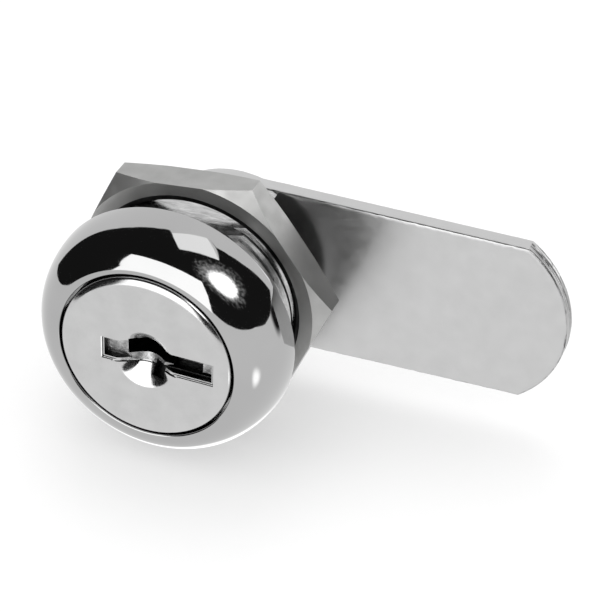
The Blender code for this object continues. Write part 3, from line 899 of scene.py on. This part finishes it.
def make_lock_washer():
    """The ring that shows round the screw's head, which covers the teeth inside it."""
    inner = LOCK_WASHER_INNER
    outer = ring_high.x
    edge = LOCK_WASHER_EDGE
    profile = [(inner, ring_high.z), (outer - edge, ring_high.z), (outer, ring_high.z - edge),
               (outer, ring_low.z + edge), (outer - edge, ring_low.z), (inner, ring_low.z)]
    washer = turned("tooth_washer", profile, segments=96)
    finish_piece(washer, SPRING, "lock_washer", "plug")


def make_screw():
    """A pan head screw with a cross recess."""
    rear = screw_low.z
    front = screw_high.z
    head_front = rear + SCREW_HEAD_DEPTH
    centre = (SCREW_HEAD_RADIUS - SCREW_ROUNDING, rear + SCREW_ROUNDING)
    rounded = arc(SCREW_ROUNDING, 0, -pi / 2, 14, centre)
    profile = [(0, front), (SCREW_RADIUS - SCREW_POINT, front), (SCREW_RADIUS, front - SCREW_POINT),
               (SCREW_RADIUS, head_front), (SCREW_HEAD_RADIUS, head_front)] + rounded + [(0, rear)]
    screw = turned("pan_head_screw", profile, segments=96)
    for turn in (0, pi / 2):
        slit = rectangle((CROSS_LENGTH, CROSS_WIDTH))
        outline = [Matrix.Rotation(turn, 2) @ Vector(p) for p in slit]
        cutter = layered("cross", outline, [(CROSS_TAPER, rear + CROSS_DEPTH), (0, rear), (0, rear - MM)])
        carve(screw, cutter)
    finish_piece(screw, ZINC, "cam_screw", "plug")


def make_retainer_spring(steps=24, sides=10):
    """The coil that pushes the retainer out."""
    start = CHAMBER_FLOOR + SPRING_WIRE + SPRING_PLAY
    end = FOOT_INNER - SPRING_WIRE - SPRING_PLAY
    middle = Vector((0, -SPRING_CENTRE, RETAINER_MIDDLE))
    count = SPRING_TURNS * steps
    bm = bmesh.new()
    rings = []
    for i in range(count + 1):
        angle = 2 * pi * i / steps
        outward = Vector((0, cos(angle), sin(angle)))
        onward = Vector(((end - start) / SPRING_TURNS / (2 * pi), -SPRING_RADIUS * sin(angle),
                         SPRING_RADIUS * cos(angle)))
        across = onward.normalized().cross(outward)
        place = middle + outward * SPRING_RADIUS
        place.x = start + (end - start) * i / count
        wire = arc(SPRING_WIRE, 0, 2 * pi, sides)[:-1]
        rings.append([bm.verts.new(place + outward * x + across * y) for x, y in wire])
    join_rings(bm, rings)
    spring = add("retainer_coil", bm)
    finish_piece(spring, SPRING, "retainer_spring", "plug", smooth=60)
    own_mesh(spring)


def finish_hidden_nodes():
    """Materials for the CAD nodes that stay: the discs, their springs and the retainer."""
    for name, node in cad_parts.items():
        if "spring" in name:
            material = SPRING
        elif name.startswith("disc_tumbler") or name == "retainer":
            material = BRASS
        else:
            continue
        node.data.materials.clear()
        node.data.materials.append(material)


# ---------------------------------------------------------------- studio

def towards(azimuth, elevation, distance=1.0):
    """A place seen from the lock: azimuth 0 is in front of its face and 90 is along +X."""
    a = radians(azimuth)
    e = radians(elevation)
    return Vector((sin(a) * cos(e), -cos(a) * cos(e), sin(e))) * distance


def emitter(name, strength):
    """A material with only an emission node, which isn't linked yet, and an output."""
    material = bpy.data.materials.new(name)
    material.use_nodes = True
    nodes = material.node_tree.nodes
    nodes.clear()
    emission = nodes.new("ShaderNodeEmission")
    emission.inputs["Strength"].default_value = strength
    output = nodes.new("ShaderNodeOutputMaterial")
    return material, emission.outputs["Emission"], output.inputs["Surface"]


def glow(name, strength):
    """A plain emitter for a card."""
    material, light, surface = emitter(name, strength)
    material.node_tree.links.new(light, surface)
    return material


def soft_glow(name, strength, inner, ragged):
    """An emitter that fades out towards the edge of its card, evenly or raggedly."""
    material, light, surface = emitter(name, strength)
    nodes = material.node_tree.nodes
    links = material.node_tree.links
    reach = nodes.new("ShaderNodeAttribute")
    reach.attribute_name = "reach"
    grain = nodes.new("ShaderNodeTexNoise")
    grain.inputs["Scale"].default_value = GLOW_GRAIN
    grain.inputs["Detail"].default_value = 5.0
    spread = nodes.new("ShaderNodeMath")
    spread.operation = "MULTIPLY_ADD"
    spread.inputs[1].default_value = ragged
    links.new(grain.outputs["Fac"], spread.inputs[0])
    links.new(reach.outputs["Fac"], spread.inputs[2])
    fade = nodes.new("ShaderNodeMapRange")
    fade.interpolation_type = "SMOOTHSTEP"
    fade.inputs["From Min"].default_value = inner + ragged / 2
    fade.inputs["From Max"].default_value = 1.0 + ragged / 2
    fade.inputs["To Min"].default_value = 1.0
    fade.inputs["To Max"].default_value = 0.0
    links.new(spread.outputs["Value"], fade.inputs["Value"])
    clear = nodes.new("ShaderNodeBsdfTransparent")
    mix = nodes.new("ShaderNodeMixShader")
    links.new(fade.outputs["Result"], mix.inputs["Fac"])
    links.new(clear.outputs["BSDF"], mix.inputs[1])
    links.new(light, mix.inputs[2])
    links.new(mix.outputs["Shader"], surface)
    return material


def hang(name, bm, material):
    """A card for a bmesh, which shapes what the polished metal mirrors and nothing else."""
    thing = add(name, bm)
    thing.data.materials.append(material)
    thing.visible_camera = False
    thing.visible_diffuse = False
    thing.visible_shadow = False
    thing.visible_transmission = False
    thing.visible_volume_scatter = False


def card(name, outline, strength, distance):
    """A studio card on a sphere round the lock, given by (azimuth, elevation) corners."""
    bm = bmesh.new()
    bm.faces.new([bm.verts.new((azimuth, elevation, 0)) for azimuth, elevation in outline])
    bm.normal_update()
    bmesh.ops.triangulate(bm, faces=bm.faces)
    for angle in range(-180, 181, CARD_GRID):
        for normal in ((1, 0, 0), (0, 1, 0)):
            everything = list(bm.verts) + list(bm.edges) + list(bm.faces)
            bmesh.ops.bisect_plane(bm, geom=everything, dist=1e-4,
                                   plane_co=(angle, angle, 0), plane_no=normal)
    for vert in bm.verts:
        vert.co = towards(vert.co.x, vert.co.y, distance)
    hang(name, bm, glow(name + "_light", strength))


def flat_card(name, corners, strength, distance):
    """A flat card whose corners are seen from the lock at (azimuth, elevation)."""
    bm = bmesh.new()
    bm.faces.new([bm.verts.new(towards(*corner, distance)) for corner in corners])
    hang(name, bm, glow(name + "_light", strength))


def oval_card(name, centre, size, strength, distance=0.9, inner=0.0, ragged=0.0, steps=48, rings=12):
    """A soft oval light on a sphere round the lock; size is its half width and half height in degrees."""
    bm = bmesh.new()
    layer = bm.verts.layers.float.new("reach")
    grid = []
    for ring in range(rings + 1):
        share = ring / rings
        row = []
        for i in range(steps):
            a = 2 * pi * i / steps
            azimuth = centre[0] + size[0] * share * cos(a)
            elevation = centre[1] + size[1] * share * sin(a)
            vert = bm.verts.new(towards(azimuth, elevation, distance))
            vert[layer] = share
            row.append(vert)
        grid.append(row)
    join_rings(bm, grid, capped=False)
    bmesh.ops.remove_doubles(bm, verts=bm.verts, dist=1e-6)
    hang(name, bm, soft_glow(name + "_light", strength, inner, ragged))


def add_cards():
    """What the head mirrors: a dark room, white cards in front and behind, and lamps at the right."""
    card("dark_room", [
        (-112, -10), (-90, -8.7), (-75, -10), (-60, -13), (-45, -18), (-29, -17),
        (-10, -15), (10, -10), (30, -3), (45, 0), (60, 2), (82, 3), (100, 0), (112, 1),
        (131, 8), (131, 35), (134, 46), (141, 55), (158, 55), (114, 56.4), (105, 72.5),
        (91, 80.6), (62, 84.3), (31, 85.3), (31, 89.9), (-153, 89.9), (-152.7, 70.6), (-151, 66),
        (-135, 62), (-125, 56), (-117, 48), (-113.5, 36)], strength=DARK, distance=1.0)
    card("front_card", [
        (-29, -18), (-18, -19), (0, -14), (10, 0), (20, 17), (29, 39), (10, 42), (-10, 43),
        (-30, 41.5), (-41, 39), (-36, 20), (-30, 0)], strength=2.2, distance=0.95)
    flat_card("rear_panel", [(113.6, 56.4), (158.3, 56.0), (-152.7, 70.6), (30.8, 85.3)],
              strength=1.6, distance=0.95)
    oval_card("lamp_haze", (70, 46), (44, 27), strength=0.9, ragged=1.2)
    oval_card("lamp", (70, 43), (27, 16), strength=3.5, distance=0.85, inner=0.6, ragged=0.5)
    oval_card("low_lamp", (64, -36), (17, 10), strength=2.2, inner=0.2)
    oval_card("low_panel", (-155, -57), (30, 20), strength=1.9, inner=0.5)
    oval_card("side_fill", (153, -2), (15, 20), strength=3.5)
    oval_card("dark_gap", (120, -4), (9, 15), strength=DARK, inner=0.4)


def add_floor():
    """A plain pale floor just below the lowest corner of the nut and the head."""
    bm = bmesh.new()
    bmesh.ops.create_grid(bm, x_segments=1, y_segments=1, size=FLOOR_HALF)
    floor = add("floor", bm)
    floor.location.z = min(housing_low.y, nut_low.y) - FLOOR_GAP
    material = bpy.data.materials.new("pale_floor")
    material.use_nodes = True
    shader = material.node_tree.nodes["Principled BSDF"]
    shader.inputs["Base Color"].default_value = (0.62, 0.62, 0.62, 1.0)
    shader.inputs["Emission Color"].default_value = (1, 1, 1, 1)
    shader.inputs["Emission Strength"].default_value = 0.4
    shader.inputs["Roughness"].default_value = 0.9
    shader.inputs["Specular IOR Level"].default_value = 0.0
    floor.data.materials.append(material)
    floor.visible_glossy = False


def add_lights():
    """Even white surroundings and one large soft lamp above and behind to the left."""
    world = bpy.data.worlds.new("white_room")
    world.use_nodes = True
    background = world.node_tree.nodes["Background"]
    background.inputs["Color"].default_value = (1, 1, 1, 1)
    background.inputs["Strength"].default_value = 1.0
    bpy.context.scene.world = world
    lamp = bpy.data.lights.new("key", "AREA")
    lamp.size = 0.5
    lamp.energy = 1.0
    key = bpy.data.objects.new("key", lamp)
    key.location = towards(*KEY_DIRECTION, KEY_DISTANCE)
    key.rotation_euler = towards(*KEY_DIRECTION).to_track_quat("Z", "Y").to_euler()
    key.visible_glossy = False
    bpy.context.scene.collection.objects.link(key)


def add_camera():
    """The long lens looks down on the head from its right."""
    azimuth = CAMERA_AZIMUTH
    elevation = CAMERA_ELEVATION
    right = Vector((cos(azimuth), sin(azimuth), 0))
    back = Vector((sin(azimuth) * cos(elevation), -cos(azimuth) * cos(elevation), sin(elevation)))
    up = back.cross(right)
    head = Vector((0, -HEAD_DEPTH, 0))
    data = bpy.data.cameras.new("camera")
    data.sensor_width = CAMERA_SENSOR
    data.lens = CAMERA_LENS
    data.clip_start = 0.01
    camera = bpy.data.objects.new("camera", data)
    turn = Matrix((right, up, back)).transposed().to_4x4()
    place = head + (CAMERA_RIGHT_MM * right + CAMERA_UP_MM * up + CAMERA_BACK_MM * back) * MM
    camera.matrix_world = Matrix.Translation(place) @ turn
    bpy.context.scene.collection.objects.link(camera)
    bpy.context.scene.camera = camera


make_housing()
make_plug()
make_nut()
make_stop_washer()
make_cam()
make_lock_washer()
make_screw()
make_retainer_spring()
finish_hidden_nodes()
add_cards()
add_floor()
add_lights()
add_camera()
bpy.context.scene.view_settings.view_transform = "Standard"
